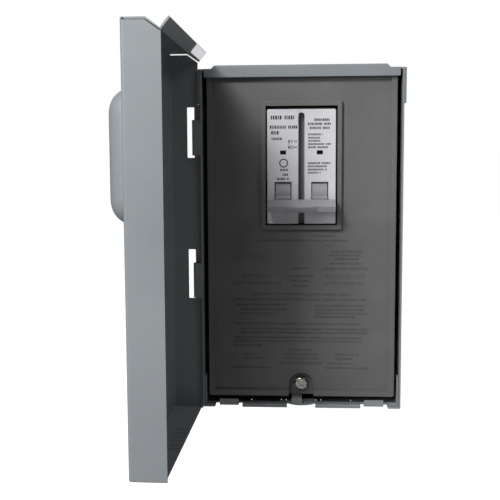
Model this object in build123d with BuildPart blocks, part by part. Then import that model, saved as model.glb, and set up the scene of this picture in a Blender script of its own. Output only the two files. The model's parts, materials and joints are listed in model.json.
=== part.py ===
from build123d import *
from math import cos, radians, sin
import os

# A small outdoor disconnect: a two-pole switch with one tied handle, in a sheet steel
# enclosure whose door swings to the left on two bent hooks.
# Millimetres. +X right, -Y out of the wall, +Z up. The origin is the middle of the back
# face, on the wall. A distance d is measured out from the wall, so y = -d.

# ---- Driving dimensions -------------------------------------------------------------

SHEET = 1.2                  # steel sheet
BOX_W, BOX_H, BOX_D = 139.7, 237.3, 76.0
HALF_W = BOX_W / 2
INNER_X = HALF_W - SHEET     # inside face of a side wall
TOP, BOTTOM = BOX_H / 2, -BOX_H / 2
FRONT = BOX_D                # front edges of the side walls
FIT = 0.2                    # gap between nested sheets
BEND_R = 2.0                 # outside radius of a sheet bend

WALL_HOLE_R, WALL_HOLE_X, WALL_HOLE_Z = 3.5, 50.0, 92.0

CAP_SKIRT_BOTTOM = 94.8      # top cap: lower edge of its side skirts
CAP_FLANGE_BOTTOM, CAP_FLANGE_HALF = 112.9, 67.0
RIB_LEFT, RIB_RIGHT = -62.1, 60.4
RIB_DEPTH, RIB_RISE = 7.0, 2.4

TAB_TOP = -96.0              # bottom wall: upturned side tabs
TONGUE_EDGE = 6.0            # set-back of the bottom wall's front edge
KNOCKOUT_R, KNOCKOUT_PITCH, KNOCKOUT_BACK = 11.1, 25.0, 14.0

HOOK_REACH, HOOK_RETURN, HOOK_TALL = 5.9, 5.5, 24.4
HOOKS_Z = (71.9, -27.8)      # middle heights of the two hooks
HINGE_X = -HALF_W - (HOOK_REACH - SHEET) / 2
HINGE_D = FRONT - 3.6

DOOR_OPEN = 91.2             # degrees open as stored
DOOR_W, DOOR_TOP, DOOR_BOTTOM = 145.8, 130.3, -120.5
DOOR_FRONT = -19.75          # outer face of the door front, from the hinge axis
DOOR_BACK = 2.1              # free edge of the door's side flanges, past the hinge axis
SLOT_NEAR, SLOT_FAR, SLOT_TALL = 2.1, 7.2, 34.8
SLOTS_Z = (75.5, -23.4)
DOME_W, DOME_H, DOME_Z, DOME_RISE = 75.0, 80.0, 58.0, 18.2

PANEL_HALF, PANEL_LOW, PANEL_HIGH = 65.6, -111.0, 114.5
RIM_BACK, PANEL_BACK, PANEL_T, SKIRT_BACK = 2.5, 4.5, 2.4, 12.0
RIM_W = 4.3
WINDOW_HALF, WINDOW_LOW, WINDOW_HIGH, FRAME_W = 24.8, 11.0, 93.4, 3.2
SCREW_Z, NOTCH_R, NOTCH_FLOOR = -102.8, 8.8, 9.0

POLES = {"left": -12.7, "right": 12.7}
CASE_HALF, CASE_LOW, CASE_HIGH, CASE_WALL = 23.75, 12.0, 91.0, 2.0
BASE_T = 5.0
CASE_D, SPLIT_D, FACE_D = SHEET + BASE_T, 56.0, FRONT - 2.5
FACE_T = 2.2
GROOVE_W, GROOVE_TOP, GROOVE_DEPTH = 4.3, 88.8, 6.0

PIVOT_D, PIVOT_Z, AXLE_R = 63.0, 32.5, 1.5
TOGGLE_W, DRUM_R, HANDLE_OFF = 10.5, 11.5, 22.0
SLOT_W, SLOT_HALF_Z = 11.7, 8.6
BAR_HALF, BAR_IN, BAR_OUT, BAR_T = 23.25, 14.6, 26.0, 4.8

ARM_D, ARM_Z, ARM_OPEN = 40.0, 30.0, 32.0
CROSSBAR_R, BLADE_R, BLADE_T = 5.0, 34.0, 3.0
STRAP_D, STRAP_T, STRAP_W = 30.0, 2.0, 8.0
LINE_LUG_Z, LOAD_LUG_Z, LUG = 104.0, -6.0, (13.0, 16.0, 12.0)
WIRE_R, SET_SCREW_R = 4.5, 3.0

BAR_Z, GROUND_HALF, GROUND_D, GROUND_H = -57.0, 34.0, 12.0, 10.0
GROUND_WIRES_X = (-21.0, -7.0, 7.0, 21.0)

os.makedirs("parts", exist_ok=True)


# ---- Helpers ------------------------------------------------------------------------

def block(x, d, z, mode=Mode.ADD):
    """A box in the open builder: x, distance from the wall and z as (low, high)."""
    with Locations(((x[0] + x[1]) / 2, -(d[0] + d[1]) / 2, (z[0] + z[1]) / 2)):
        Box(x[1] - x[0], d[1] - d[0], z[1] - z[0], mode=mode)


def mirrored(x, d, z, mode=Mode.ADD):
    """The same box on the right and on the left."""
    block(x, d, z, mode)
    block((-x[1], -x[0]), d, z, mode)


def wall_plane(d):
    """A plane parallel to the wall, d in front of it, facing out."""
    return Plane.XZ.offset(d)


def rod_out(x, z, d, radius, mode=Mode.ADD):
    """A round bar standing out from the wall between two distances d."""
    with BuildSketch(wall_plane(d[0])) as section:
        with Locations((x, z)):
            Circle(radius)
    extrude(section.sketch, amount=d[1] - d[0], mode=mode)


def rod_across(x, d, z, radius, mode=Mode.ADD):
    """A round bar along X between two x positions."""
    with BuildSketch(Plane.YZ.offset(x[0])) as section:
        with Locations((-d, z)):
            Circle(radius)
    extrude(section.sketch, amount=x[1] - x[0], mode=mode)


def rod_up(x, d, z, radius, mode=Mode.ADD):
    """A round bar along Z between two heights."""
    with BuildSketch(Plane.XY.offset(z[0])) as section:
        with Locations((x, -d)):
            Circle(radius)
    extrude(section.sketch, amount=z[1] - z[0], mode=mode)


def slotted_screw(x, z, d_tip, d_seat, shank_r, head_r, head_t):
    """A round-headed machine screw driven towards the wall, with a driver slot."""
    rod_out(x, z, (d_tip, d_seat), shank_r)
    rod_out(x, z, (d_seat, d_seat + head_t), head_r)
    slot = 0.24 * head_r
    block((x - head_r, x + head_r), (d_seat + 0.5 * head_t, d_seat + head_t + 1),
          (z - slot / 2, z + slot / 2), Mode.SUBTRACT)


# ---- Enclosure: back, side walls and hinge hooks, one bent sheet ----------------------

SHELL_TOP = TOP - SHEET - FIT / 2
FLANGE_X = 61.2              # inner edge of the turned-in flanges under the side walls

with BuildPart() as box_shell:
    with BuildSketch(Plane.XY.offset(BOTTOM)):
        with BuildLine():
            Polyline((-HALF_W, -FRONT), (-HALF_W, 0), (HALF_W, 0), (HALF_W, -FRONT),
                     (INNER_X, -FRONT), (INNER_X, -SHEET), (-INNER_X, -SHEET),
                     (-INNER_X, -FRONT), close=True)
        make_face()
    extrude(amount=SHELL_TOP - BOTTOM)
    fillet(box_shell.edges().filter_by(Axis.Z).group_by(Axis.Y)[-1], BEND_R)
    mirrored((FLANGE_X, HALF_W), (SHEET, FRONT), (BOTTOM, BOTTOM + SHEET))
    bends = box_shell.edges().filter_by(Axis.Y).group_by(Axis.Z)[0]
    fillet(ShapeList(e for e in bends if abs(abs(e.center().X) - HALF_W) < 0.01), 1.1)
    with BuildSketch(wall_plane(0)):
        with GridLocations(2 * WALL_HOLE_X, 2 * WALL_HOLE_Z, 2, 2):
            Circle(WALL_HOLE_R)
    extrude(amount=SHEET, mode=Mode.SUBTRACT)
    for screw_x, screw_z in ((28.0, BAR_Z), (-28.0, BAR_Z), (27.0, -16.0), (-27.0, -16.0),
                             (27.0, 105.0), (-27.0, 105.0)):
        rod_out(screw_x, screw_z, (0, SHEET), 2.2, Mode.SUBTRACT)
    for hook_z in HOOKS_Z:
        hook_low, hook_high = hook_z - HOOK_TALL / 2, hook_z + HOOK_TALL / 2
        with BuildSketch(Plane.XY.offset(hook_low)):
            with BuildLine():
                Polyline((-HALF_W + SHEET, -FRONT), (-HALF_W - HOOK_REACH, -FRONT),
                         (-HALF_W - HOOK_REACH, -FRONT + HOOK_RETURN),
                         (-HALF_W - HOOK_REACH + SHEET, -FRONT + HOOK_RETURN),
                         (-HALF_W - HOOK_REACH + SHEET, -FRONT + SHEET),
                         (-HALF_W + SHEET, -FRONT + SHEET), close=True)
            make_face()
        extrude(amount=HOOK_TALL)
    hook_corners = box_shell.edges().filter_by(Axis.Z).group_by(Axis.X)[0]
    fillet(hook_corners.group_by(Axis.Y)[0], 1.5)

box_shell.part.label = "box_shell"
export_step(box_shell.part, "parts/box_shell.step")


# ---- Top cap: lid over the side walls, front flange and a raised drip rib --------------

CAP_HALF = HALF_W + FIT + SHEET

with BuildPart() as top_wall:
    block((-CAP_HALF, CAP_HALF), (0, FRONT), (TOP - SHEET, TOP))
    mirrored((HALF_W + FIT, CAP_HALF), (0, FRONT - 0.3), (CAP_SKIRT_BOTTOM, TOP))
    fillet(top_wall.edges().filter_by(Axis.Y).group_by(Axis.Z)[-1].group_by(Axis.X)[0], 1.1)
    fillet(top_wall.edges().filter_by(Axis.Y).group_by(Axis.Z)[-1].group_by(Axis.X)[-1], 1.1)
    block((-CAP_FLANGE_HALF, CAP_FLANGE_HALF), (FRONT - SHEET, FRONT),
          (CAP_FLANGE_BOTTOM, TOP))
    with BuildSketch(wall_plane(FRONT - RIB_DEPTH)):
        with BuildLine():
            Polyline((RIB_LEFT, TOP - SHEET), (RIB_LEFT, TOP), (RIB_LEFT + RIB_RISE, TOP + RIB_RISE),
                     (RIB_RIGHT - RIB_RISE, TOP + RIB_RISE), (RIB_RIGHT, TOP),
                     (RIB_RIGHT, TOP - SHEET), close=True)
        make_face()
    extrude(amount=RIB_DEPTH)
    block((RIB_LEFT + 4, RIB_RIGHT - 4), (FRONT - RIB_DEPTH + SHEET, FRONT - SHEET),
          (TOP - SHEET - 1, TOP + RIB_RISE - SHEET), Mode.SUBTRACT)
    fillet(top_wall.edges().filter_by(Axis.X).group_by(Axis.Z)[-1], 1.0)
    relief = (CAP_FLANGE_HALF, HALF_W + FIT)
    mirrored(relief, (FRONT - SHEET, FRONT), (TOP - SHEET, TOP + 1), Mode.SUBTRACT)

top_wall.part.label = "top_wall"
export_step(top_wall.part, "parts/top_wall.step")


# ---- Bottom wall: plate with upturned side tabs, front tongues and knockouts -----------

FLOOR_LOW = BOTTOM + SHEET
FLOOR_TOP = FLOOR_LOW + SHEET
FLOOR_HALF = INNER_X - FIT
KNOCKOUTS_X = (-KNOCKOUT_PITCH, 0.0, KNOCKOUT_PITCH)
TONGUE = (10.0, 41.8)        # front tongues, turned down
SMALL_TAB = (44.4, 58.0)     # small front tabs, turned up against the deadfront
SMALL_TAB_D, SMALL_TAB_TALL = FRONT - 0.6, 4.4

with BuildPart() as bottom_wall:
    block((-FLOOR_HALF, FLOOR_HALF), (SHEET + FIT, FRONT - TONGUE_EDGE), (FLOOR_LOW, FLOOR_TOP))
    mirrored((FLOOR_HALF - SHEET, FLOOR_HALF), (SHEET + FIT, FRONT - 1.5), (FLOOR_LOW, TAB_TOP))
    mirrored(SMALL_TAB, (FRONT - TONGUE_EDGE - 1, SMALL_TAB_D), (FLOOR_LOW, FLOOR_TOP))
    mirrored(SMALL_TAB, (SMALL_TAB_D - SHEET, SMALL_TAB_D), (FLOOR_LOW, FLOOR_LOW + SMALL_TAB_TALL))
    mirrored(TONGUE, (FRONT - TONGUE_EDGE - 1, FRONT), (FLOOR_LOW, FLOOR_TOP))
    mirrored(TONGUE, (FRONT - SHEET, FRONT), (BOTTOM, FLOOR_TOP))
    rod_up(0, FRONT - KNOCKOUT_BACK, (FLOOR_LOW, FLOOR_TOP), KNOCKOUT_R + 1.4)
    fillet(bottom_wall.edges().filter_by(Axis.X).group_by(Axis.Y)[0].group_by(Axis.Z)[-1], 0.9)
    for knockout_x in KNOCKOUTS_X:
        rod_up(knockout_x, FRONT - KNOCKOUT_BACK, (FLOOR_LOW, FLOOR_TOP), KNOCKOUT_R,
               Mode.SUBTRACT)

bottom_wall.part.label = "bottom_wall"
export_step(bottom_wall.part, "parts/bottom_wall.step")

SLUG_GAP = 0.5               # sheared gap round a knockout slug
TIE_W = 1.6                  # width of the two ties that hold a slug

with BuildPart() as knockout_slugs:
    for knockout_x in KNOCKOUTS_X:
        rod_up(knockout_x, FRONT - KNOCKOUT_BACK, (FLOOR_LOW, FLOOR_TOP), KNOCKOUT_R - SLUG_GAP)
        block((knockout_x - TIE_W / 2, knockout_x + TIE_W / 2),
              (FRONT - KNOCKOUT_BACK - KNOCKOUT_R + 0.03, FRONT - KNOCKOUT_BACK + KNOCKOUT_R - 0.03),
              (FLOOR_LOW, FLOOR_TOP))

knockout_slugs.part.label = "knockout_slugs"
export_step(knockout_slugs.part, "parts/knockout_slugs.step")


# ---- Deadfront: moulded inner cover with a rim, a switch window and a screw notch ------

def notch(radius, d, low, mode):
    """An arch-topped recess round the fixing screw, open at the bottom."""
    with BuildSketch(wall_plane(d[0])) as section:
        with Locations((0, SCREW_Z)):
            Circle(radius)
        with Locations((0, (SCREW_Z + low) / 2)):
            Rectangle(2 * radius, SCREW_Z - low)
        with Locations((0, low - radius)):
            Rectangle(2 * radius, 2 * radius, mode=Mode.SUBTRACT)
    extrude(section.sketch, amount=d[1] - d[0], mode=mode)


PANEL_REAR = FRONT - PANEL_BACK - PANEL_T
SKIRT_T = 2.0
NOTCH_T = 1.6                # wall of the notch, its front edge a low rim

with BuildPart() as deadfront:
    block((-PANEL_HALF, PANEL_HALF), (FRONT - SKIRT_BACK, FRONT - RIM_BACK), (PANEL_LOW, PANEL_HIGH))
    fillet(deadfront.edges().filter_by(Axis.Y), 1.5)
    fillet(deadfront.edges().group_by(Axis.Y)[0], 0.6)
    block((-PANEL_HALF + RIM_W, PANEL_HALF - RIM_W), (FRONT - PANEL_BACK, FRONT),
          (PANEL_LOW + RIM_W, PANEL_HIGH - SKIRT_T), Mode.SUBTRACT)
    block((-PANEL_HALF + SKIRT_T, PANEL_HALF - SKIRT_T), (0, PANEL_REAR),
          (PANEL_LOW + SKIRT_T, PANEL_HIGH - SKIRT_T), Mode.SUBTRACT)
    frame_half = WINDOW_HALF + FRAME_W
    with BuildSketch(wall_plane(FRONT - SKIRT_BACK)):
        with Locations((0, (WINDOW_LOW + WINDOW_HIGH) / 2)):
            RectangleRounded(2 * frame_half, WINDOW_HIGH - WINDOW_LOW + 2 * FRAME_W, 1.0)
    extrude(amount=SKIRT_BACK - RIM_BACK + 0.6)
    fillet(deadfront.faces().sort_by(Axis.Y)[0].edges(), 0.5)
    block((-WINDOW_HALF, WINDOW_HALF), (0, FRONT + 1), (WINDOW_LOW, WINDOW_HIGH), Mode.SUBTRACT)
    notch(NOTCH_R + NOTCH_T, (FRONT - NOTCH_FLOOR - 2.0, FRONT - PANEL_BACK + 0.7),
          PANEL_LOW + 0.6, Mode.ADD)
    notch(NOTCH_R, (FRONT - NOTCH_FLOOR, FRONT + 1), PANEL_LOW - 1, Mode.SUBTRACT)
    block((-NOTCH_R, NOTCH_R), (0, FRONT - NOTCH_FLOOR - 2.0), (PANEL_LOW - 1, PANEL_LOW + 3),
          Mode.SUBTRACT)
    rod_out(0, SCREW_Z, (0, FRONT), 2.7, Mode.SUBTRACT)

deadfront.part.label = "deadfront"
export_step(deadfront.part, "parts/deadfront.step")

SEAT_D = FRONT - NOTCH_FLOOR # face the screw head bears on
BRACKET_D = SEAT_D - 2.0     # front face of the bracket
FOOT = (-6.8, 0.6)           # its narrow foot, turned up at the front

with BuildPart() as deadfront_screw:
    rod_out(0, SCREW_Z, (BRACKET_D - 9.0, SEAT_D), 2.1)
    rod_out(0, SCREW_Z, (SEAT_D, SEAT_D + 3.0), 4.8)
    fillet(deadfront_screw.edges().sort_by(Axis.Y)[0], 1.6)
    with BuildSketch(wall_plane(SEAT_D + 1.6)):
        with Locations((0, SCREW_Z)):
            Rectangle(10.0, 1.2, rotation=-40)
            Rectangle(5.0, 1.2, rotation=50)
    extrude(amount=2.0, mode=Mode.SUBTRACT)

deadfront_screw.part.label = "deadfront_screw"
export_step(deadfront_screw.part, "parts/deadfront_screw.step")

with BuildPart() as deadfront_bracket:
    block((-9.0, 9.0), (BRACKET_D - SHEET, BRACKET_D), (SCREW_Z - 6.0, SCREW_Z + 8.0))
    block(FOOT, (BRACKET_D - SHEET, BRACKET_D), (FLOOR_TOP, SCREW_Z - 6.0))
    block(FOOT, (BRACKET_D - SHEET, FRONT - 1.0), (FLOOR_TOP, FLOOR_TOP + SHEET))
    block(FOOT, (FRONT - 1.0 - SHEET, FRONT - 1.0), (FLOOR_TOP, FLOOR_TOP + SMALL_TAB_TALL))
    rod_out(0, SCREW_Z, (0, FRONT), 2.1, Mode.SUBTRACT)

deadfront_bracket.part.label = "deadfront_bracket"
export_step(deadfront_bracket.part, "parts/deadfront_bracket.step")


# ---- Insulating base on the back wall, with a pad behind each terminal -----------------

LINE_PAD, LOAD_PAD = (CASE_HIGH + FIT, 110.0), (-12.0, CASE_LOW - FIT)

with BuildPart() as base_plate:
    block((-32.0, 32.0), (SHEET, CASE_D), (-21.0, 110.0))
    for pole_x in POLES.values():
        for pad in (LINE_PAD, LOAD_PAD):
            block((pole_x - 7.0, pole_x + 7.0), (CASE_D, STRAP_D), pad)
            screw_z = CASE_HIGH + 3.5 if pad is LINE_PAD else CASE_LOW - 6.0
            rod_out(pole_x, screw_z, (STRAP_D - 12.0, STRAP_D), 1.6, Mode.SUBTRACT)
    for base_x in (-27.0, 27.0):
        for base_z in (-16.0, 105.0):
            rod_out(base_x, base_z, (0, CASE_D), 2.2, Mode.SUBTRACT)
    fillet(base_plate.edges().filter_by(Axis.Y).group_by(Axis.X)[0], 3.0)
    fillet(base_plate.edges().filter_by(Axis.Y).group_by(Axis.X)[-1], 3.0)

base_plate.part.label = "base_plate"
export_step(base_plate.part, "parts/base_plate.step")

with BuildPart() as base_screws:
    for base_x in (-27.0, 27.0):
        for base_z in (-16.0, 105.0):
            slotted_screw(base_x, base_z, 0.3, CASE_D, 2.1, 3.9, 2.2)

base_screws.part.label = "base_screws"
export_step(base_screws.part, "parts/base_screws.step")


# ---- Switch case: rear half of the moulded body, two chambers --------------------------

CHAMBER = (1.2, CASE_HALF - CASE_WALL)
POST_IN = 16.75              # inner corner of the posts the cover screws run in
POSTS_Z = ((CASE_LOW + CASE_WALL, 19.0), (84.0, CASE_HIGH - CASE_WALL))
COVER_SCREWS = [(sign * 19.2, z) for sign in (-1, 1) for z in (16.6, 86.4)]

with BuildPart() as switch_case:
    block((-CASE_HALF, CASE_HALF), (CASE_D, SPLIT_D), (CASE_LOW, CASE_HIGH))
    fillet(switch_case.edges().filter_by(Axis.Y), 1.0)
    mirrored(CHAMBER, (CASE_D + CASE_WALL, SPLIT_D), (CASE_LOW + CASE_WALL, CASE_HIGH - CASE_WALL),
             Mode.SUBTRACT)
    for post_z in POSTS_Z:
        mirrored((POST_IN, CASE_HALF - CASE_WALL), (CASE_D + CASE_WALL, SPLIT_D), post_z)
    for pole_x in POLES.values():
        for rib_z in ((57.0, 62.0), (22.0, 26.0)):
            block((pole_x - 4.0, pole_x + 4.0), (CASE_D + CASE_WALL, STRAP_D), rib_z)
        for wall_z in ((CASE_LOW - 1, CASE_LOW + 3), (CASE_HIGH - 3, CASE_HIGH + 1)):
            block((pole_x - 4.3, pole_x + 4.3), (STRAP_D - 0.2, STRAP_D + STRAP_T + 0.2), wall_z,
                  Mode.SUBTRACT)
    rod_across((-CASE_HALF - 1, CASE_HALF + 1), ARM_D, ARM_Z, 2.75, Mode.SUBTRACT)
    rod_across((-2.0, 2.0), ARM_D, ARM_Z, CROSSBAR_R + 0.4, Mode.SUBTRACT)
    for screw_x, screw_z in COVER_SCREWS:
        rod_out(screw_x, screw_z, (0, SPLIT_D + 1), 1.5, Mode.SUBTRACT)
        rod_out(screw_x, screw_z, (0, CASE_D + 1.6), 2.4, Mode.SUBTRACT)

switch_case.part.label = "switch_case"
export_step(switch_case.part, "parts/switch_case.step")

with BuildPart() as cover_screws:
    for screw_x, screw_z in COVER_SCREWS:
        rod_out(screw_x, screw_z, (CASE_D + 0.2, CASE_D + 1.6), 2.3)
        rod_out(screw_x, screw_z, (CASE_D + 1.6, SPLIT_D + 10.0), 1.4)
        block((screw_x - 1.8, screw_x + 1.8), (CASE_D, CASE_D + 0.8), (screw_z - 0.3, screw_z + 0.3),
              Mode.SUBTRACT)

cover_screws.part.label = "cover_screws"
export_step(cover_screws.part, "parts/cover_screws.step")


# ---- Switch cover: the two light faces, their slots, windows and the groove between ----

FACE_IN = FACE_D - FACE_T
WINDOW_Z, WINDOW_W, WINDOW_H = 61.4, 4.2, 2.8
STRIP_DEPTH = 0.35           # the strip above the groove lies this far back
LEDGE_HALF, LEDGE_TOP = CASE_HALF - 0.6, WINDOW_HIGH - 0.3

with BuildPart() as switch_cover:
    block((-CASE_HALF, CASE_HALF), (SPLIT_D, FACE_D), (CASE_LOW, CASE_HIGH))
    fillet(switch_cover.edges().filter_by(Axis.Y), 1.0)
    fillet(switch_cover.edges().group_by(Axis.Y)[0], 0.5)
    mirrored((3.4, CASE_HALF - CASE_WALL), (SPLIT_D - 1, FACE_IN),
             (CASE_LOW + CASE_WALL, CASE_HIGH - CASE_WALL), Mode.SUBTRACT)
    block((-3.4, 3.4), (SPLIT_D - 1, SPLIT_D + 4.0), (CASE_LOW + CASE_WALL, CASE_HIGH - CASE_WALL),
          Mode.SUBTRACT)
    for post_z in POSTS_Z:
        mirrored((POST_IN, CASE_HALF - CASE_WALL), (SPLIT_D, FACE_IN), post_z)
    for screw_x, screw_z in COVER_SCREWS:
        rod_out(screw_x, screw_z, (SPLIT_D - 1, FACE_IN - 3.0), 1.4, Mode.SUBTRACT)
    for pole_x in POLES.values():
        block((pole_x - SLOT_W / 2, pole_x + SLOT_W / 2), (FACE_IN - 1, FACE_D + 1),
              (PIVOT_Z - SLOT_HALF_Z, PIVOT_Z + SLOT_HALF_Z), Mode.SUBTRACT)
        block((pole_x - WINDOW_W / 2, pole_x + WINDOW_W / 2), (FACE_IN - 1, FACE_D + 1),
              (WINDOW_Z - WINDOW_H / 2, WINDOW_Z + WINDOW_H / 2), Mode.SUBTRACT)
    with BuildSketch(wall_plane(FACE_D - GROOVE_DEPTH)):
        with Locations((0, GROOVE_TOP - GROOVE_W / 2)):
            Circle(GROOVE_W / 2)
        with Locations((0, (CASE_LOW - 1 + GROOVE_TOP - GROOVE_W / 2) / 2)):
            Rectangle(GROOVE_W, GROOVE_TOP - GROOVE_W / 2 - CASE_LOW + 1)
    extrude(amount=GROOVE_DEPTH + 1, mode=Mode.SUBTRACT)
    block((-GROOVE_W / 2, GROOVE_W / 2), (FACE_D - STRIP_DEPTH, FACE_D + 1),
          (GROOVE_TOP - GROOVE_W / 2, CASE_HIGH + 1), Mode.SUBTRACT)
    # a sloping ledge that closes the gap above the faces
    with BuildSketch(Plane.YZ.offset(-LEDGE_HALF)):
        with BuildLine():
            Polyline((-FACE_D + 1.5, CASE_HIGH - 1), (-FACE_D + 1.5, CASE_HIGH),
                     (-FACE_D + 5.5, LEDGE_TOP), (-SPLIT_D - 3, LEDGE_TOP),
                     (-SPLIT_D - 3, CASE_HIGH - 1), close=True)
        make_face()
    extrude(amount=2 * LEDGE_HALF)
    rod_across((-CASE_HALF - 1, CASE_HALF + 1), PIVOT_D, PIVOT_Z, AXLE_R + 0.15, Mode.SUBTRACT)

switch_cover.part.label = "switch_cover"
export_step(switch_cover.part, "parts/switch_cover.step")

with BuildPart() as indicator_lenses:
    for pole_x in POLES.values():
        block((pole_x - WINDOW_W / 2, pole_x + WINDOW_W / 2), (FACE_IN + 0.2, FACE_D - 0.5),
              (WINDOW_Z - WINDOW_H / 2, WINDOW_Z + WINDOW_H / 2))

indicator_lenses.part.label = "indicator_lenses"
export_step(indicator_lenses.part, "parts/indicator_lenses.step")


# ---- Handle: two toggles on an axle, joined by a tie bar -------------------------------

def handle_plane(x, reach):
    """A plane across the handle, reach from its pivot: local x along X, local y up."""
    outward = Vector(0, -cos(radians(HANDLE_OFF)), -sin(radians(HANDLE_OFF)))
    origin = Vector(x, -PIVOT_D, PIVOT_Z) + outward * reach
    return Plane(origin=origin, x_dir=(1, 0, 0), z_dir=outward)


LEVER_T, TENON_W, TENON_T, TENON_OUT = 6.2, 8.0, 3.2, 20.4

for side, pole_x in POLES.items():
    with BuildPart() as toggle:
        rod_across((pole_x - TOGGLE_W / 2, pole_x + TOGGLE_W / 2), PIVOT_D, PIVOT_Z, DRUM_R)
        with BuildSketch(handle_plane(pole_x, 4.0)):
            Rectangle(TOGGLE_W, LEVER_T)
        extrude(amount=BAR_IN - 4.0)
        with BuildSketch(handle_plane(pole_x, 4.0)):
            Rectangle(TENON_W, TENON_T)
        extrude(amount=TENON_OUT - 4.0)
        rod_across((-CASE_HALF, CASE_HALF), PIVOT_D, PIVOT_Z, AXLE_R, Mode.SUBTRACT)
        sides = toggle.faces().filter_by(Axis.X).group_by(Axis.X)
        fillet(sides[0].edges().filter_by(GeomType.CIRCLE).group_by(SortBy.RADIUS)[-1], 0.4)
        sides = toggle.faces().filter_by(Axis.X).group_by(Axis.X)
        fillet(sides[-1].edges().filter_by(GeomType.CIRCLE).group_by(SortBy.RADIUS)[-1], 0.4)
    toggle.part.label = f"toggle_{side}"
    export_step(toggle.part, f"parts/toggle_{side}.step")

THUMB_HALF, THUMB_OUT = 11.5, 1.8

with BuildPart() as tie_bar:
    outline_plane = handle_plane(0, 0)
    bar_top = Plane(origin=outline_plane.origin - outline_plane.y_dir * (BAR_T / 2),
                    x_dir=(1, 0, 0), z_dir=-outline_plane.y_dir)
    with BuildSketch(bar_top.offset(-BAR_T)):
        with BuildLine():
            Line((BAR_HALF, BAR_IN), (BAR_HALF, BAR_OUT))
            Line((BAR_HALF, BAR_OUT), (THUMB_HALF, BAR_OUT))
            ThreePointArc((THUMB_HALF, BAR_OUT), (0, BAR_OUT + THUMB_OUT), (-THUMB_HALF, BAR_OUT))
            Line((-THUMB_HALF, BAR_OUT), (-BAR_HALF, BAR_OUT))
            Line((-BAR_HALF, BAR_OUT), (-BAR_HALF, BAR_IN))
            Line((-BAR_HALF, BAR_IN), (BAR_HALF, BAR_IN))
        make_face()
    extrude(amount=BAR_T)
    fillet(tie_bar.edges().filter_by(Axis.X), 0.7)
    # only the upper edge bows out for the thumb: the lower edge is straight
    across = Plane(origin=outline_plane.origin - Vector(BAR_HALF, 0, 0),
                   x_dir=outline_plane.z_dir, z_dir=(1, 0, 0))
    lower, thumb = BAR_T / 2 + 0.1, BAR_OUT + THUMB_OUT + 0.2
    with BuildSketch(across):
        with BuildLine():
            Polyline((BAR_OUT, lower), (thumb, lower), (thumb, -BAR_T / 2 + 0.6), close=True)
        make_face()
    extrude(amount=2 * BAR_HALF, mode=Mode.SUBTRACT)
    for pole_x in POLES.values():
        with BuildSketch(handle_plane(pole_x, BAR_IN)):
            Rectangle(TENON_W, TENON_T)
        extrude(amount=TENON_OUT - BAR_IN, mode=Mode.SUBTRACT)

tie_bar.part.label = "tie_bar"
export_step(tie_bar.part, "parts/tie_bar.step")

with BuildPart() as toggle_axle:
    rod_across((-CASE_HALF + 0.3, CASE_HALF - 0.3), PIVOT_D, PIVOT_Z, AXLE_R)
    chamfer(toggle_axle.edges().filter_by(GeomType.CIRCLE), 0.3)

toggle_axle.part.label = "toggle_axle"
export_step(toggle_axle.part, "parts/toggle_axle.step")

COIL_R, COIL_WIRE, COIL_PITCH, COIL_LEN = 2.5, 0.4, 1.0, 2.6

with BuildPart() as toggle_springs:
    for sign in (-1, 1):
        with BuildLine() as coil:
            Helix(pitch=COIL_PITCH, height=COIL_LEN, radius=COIL_R,
                  center=(sign * 4.1, -PIVOT_D, PIVOT_Z), direction=(sign, 0, 0))
        with BuildSketch(Plane(origin=coil.line @ 0, z_dir=coil.line % 0)):
            Circle(COIL_WIRE)
        sweep(path=coil.line)

toggle_springs.part.label = "toggle_springs"
export_step(toggle_springs.part, "parts/toggle_springs.step")


# ---- Moving contacts: insulating crossbar, two blades and the indicator flags ----------

def arm_plane(x, angle):
    """A plane at the crossbar, facing +X: local y runs along an arm leaning out by angle."""
    lean = radians(angle)
    return Plane(origin=(x, -ARM_D, ARM_Z), x_dir=(0, cos(lean), sin(lean)), z_dir=(1, 0, 0))


with BuildPart() as crossbar:
    rod_across((-20.2, 20.2), ARM_D, ARM_Z, CROSSBAR_R)
    rod_across((-23.4, 23.4), ARM_D, ARM_Z, 2.6)

crossbar.part.label = "crossbar"
export_step(crossbar.part, "parts/crossbar.step")

BLADE_W, HUB_R = 8.0, 7.5

with BuildPart() as contact_blades:
    for pole_x in POLES.values():
        with BuildSketch(arm_plane(pole_x - BLADE_T / 2, ARM_OPEN)):
            Circle(HUB_R)
            with Locations((0, (BLADE_R - BLADE_W / 2) / 2)):
                Rectangle(BLADE_W, BLADE_R - BLADE_W / 2)
            with Locations((0, BLADE_R - BLADE_W / 2)):
                Circle(BLADE_W / 2)
            Circle(CROSSBAR_R, mode=Mode.SUBTRACT)
        extrude(amount=BLADE_T)

contact_blades.part.label = "contact_blades"
export_step(contact_blades.part, "parts/contact_blades.step")

FLAG_X, FLAG_T, FLAG_REACH, FLAG_LEAN, FLAG_H = 18.9, 1.2, 41.8, 41.1, 7.0

with BuildPart() as indicator_flags:
    for sign in (-1, 1):
        arm_x = FLAG_X if sign > 0 else -FLAG_X - FLAG_T
        with BuildSketch(arm_plane(arm_x, FLAG_LEAN)):
            Circle(HUB_R)
            with Locations((0, FLAG_REACH / 2)):
                Rectangle(3.0, FLAG_REACH)
            Circle(CROSSBAR_R, mode=Mode.SUBTRACT)
        extrude(amount=FLAG_T)
        flag_x = (10.2, FLAG_X + FLAG_T) if sign > 0 else (-FLAG_X - FLAG_T, -10.2)
        with BuildSketch(arm_plane(flag_x[0], FLAG_LEAN)):
            with Locations((0, FLAG_REACH)):
                Rectangle(FLAG_H, FLAG_T)
        extrude(amount=flag_x[1] - flag_x[0])

indicator_flags.part.label = "indicator_flags"
export_step(indicator_flags.part, "parts/indicator_flags.step")


# ---- Terminals, lugs and arc plates -----------------------------------------------------

LEAF_GAP, LEAF_T = BLADE_T / 2 + 0.1, 1.2
STRAP_FRONT = STRAP_D + STRAP_T

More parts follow.
